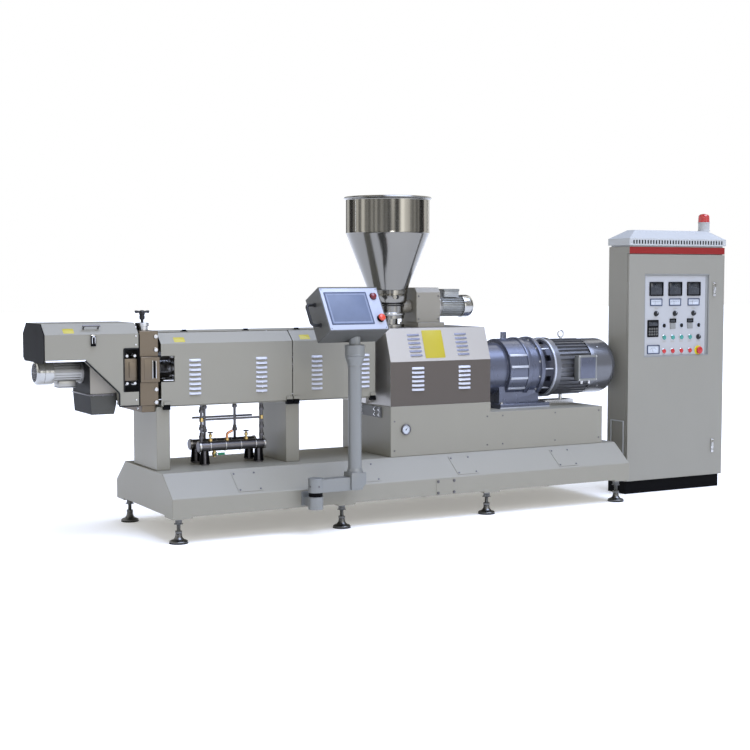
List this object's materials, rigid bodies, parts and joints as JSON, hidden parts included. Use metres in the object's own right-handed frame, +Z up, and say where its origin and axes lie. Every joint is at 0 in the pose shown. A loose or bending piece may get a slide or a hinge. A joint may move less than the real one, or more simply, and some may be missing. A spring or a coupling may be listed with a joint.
{
  "type": "plastic extruder",
  "caption": "Pelletising plastic extruder on a levelled base frame, with covered barrel, hopper, geared drive, cutter hood, swinging operator panel and a control cabinet.",
  "frame": {"origin": "on the floor, below the middle of the whole machine with its cabinet", "axes": "+X from the cutter hood towards the drive and the cabinet, +Y away from the operator, +Z up"},
  "size_m": [5.546, 1.3396, 2.265],
  "materials": {
    "machine_paint": "satin warm grey enamel",
    "cabinet_paint": "fine textured light grey powder coat",
    "dark_panel": "satin black",
    "dark_grey": "satin dark grey",
    "guard_steel": "brushed stainless",
    "polished_steel": "polished stainless",
    "bare_steel": "machined steel",
    "tan_steel": "oiled ground steel",
    "gear_paint": "blue grey enamel",
    "motor_paint": "dark grey enamel",
    "brass": "cast",
    "green_grip": "moulded",
    "black_plastic": "moulded",
    "screen_glass": "glossy screen",
    "beacon_red": "moulded red lens on grey base",
    "zinc": "plated",
    "handle_silver": "silver enamel"
  },
  "bodies": {
    "machine": {"access_plates": "machine_paint", "barrel": "bare_steel", "barrel_columns": "machine_paint", "base_frame": "machine_paint", "beacon": "beacon_red", "bell_housing": "gear_paint", "cabinet_body": "cabinet_paint", "cabinet_plinth": "dark_panel", "cabinet_roof": "cabinet_paint", "changer_blocks": "tan_steel", "changer_fittings": "zinc", "changer_slide": "tan_steel", "cooling_pipes": "bare_steel", "coupling_guard": "guard_steel", "cover_hardware": "black_plastic", "cover_tunnel": "machine_paint", "cutter_chute": "dark_grey", "cutter_motor": "bare_steel", "die_head": "bare_steel", "drain_valve": "brass", "drive_box": "machine_paint", "feeder_housing": "gear_paint", "feeder_motor": "gear_paint", "gearbox": "gear_paint", "heater_bands": "polished_steel", "hood_end_panels": "dark_panel", "hood_walls": "machine_paint", "hopper": "polished_steel", "hopper_neck": "polished_steel", "levelling_feet": "bare_steel", "main_motor": "motor_paint", "motor_cowl": "gear_paint", "motor_support": "bare_steel", "motor_terminal_box": "motor_paint", "oil_gauge": "zinc", "pendant_bracket": "handle_silver"},
    "cover_left": {"front_cover_left": "machine_paint"},
    "cover_right": {"front_cover_right": "machine_paint"},
    "tee": {"tee_handle": "dark_panel"},
    "lid": {"hood_lid": "machine_paint"},
    "lever": {"drain_lever": "green_grip"},
    "arm": {"pendant_arm": "handle_silver"},
    "panel": {"panel_swivel": "handle_silver", "panel_enclosure": "dark_grey", "panel_controls": "screen_glass", "panel_grip": "black_plastic"},
    "door": {"cabinet_door": "cabinet_paint", "door_controls": "black_plastic", "door_latches": "zinc"}
  },
  "joints": [
    {"name": "cover_left_hinge", "type": "hinge", "parent": "machine", "child": "cover_left", "pos_m": [-2.011, -0.1252, 0.861], "axis": [1, 0, 0], "range_deg": [0, 90]},
    {"name": "cover_right_hinge", "type": "hinge", "parent": "machine", "child": "cover_right", "pos_m": [-1.073, -0.1252, 0.861], "axis": [1, 0, 0], "range_deg": [0, 50]},
    {"name": "tee_handle_turn", "type": "hinge", "parent": "machine", "child": "tee", "pos_m": [-2.0885, 0.0168, 1.47], "axis": [0, 0, 1], "continuous": true},
    {"name": "hood_lid_hinge", "type": "hinge", "parent": "machine", "child": "lid", "pos_m": [-2.767, 0.3718, 1.332], "axis": [-1, 0, 0], "range_deg": [0, 100]},
    {"name": "drain_lever_turn", "type": "hinge", "parent": "machine", "child": "lever", "pos_m": [-1.587, 0.0268, 0.511], "axis": [0, 1, 0], "range_deg": [0, 90]},
    {"name": "pendant_arm_swing", "type": "hinge", "parent": "machine", "child": "arm", "pos_m": [-1.108, -0.5332, 0.26], "axis": [0, 0, -1], "range_deg": [0, 90]},
    {"name": "operator_panel_turn", "type": "hinge", "parent": "arm", "child": "panel", "pos_m": [-0.817, -0.5332, 1.172], "axis": [0, 0, 1], "range_deg": [-60, 60]},
    {"name": "cabinet_door_hinge", "type": "hinge", "parent": "machine", "child": "door", "pos_m": [1.795, -0.1422, 1], "axis": [0, 0, -1], "range_deg": [0, 110]}
  ]
}
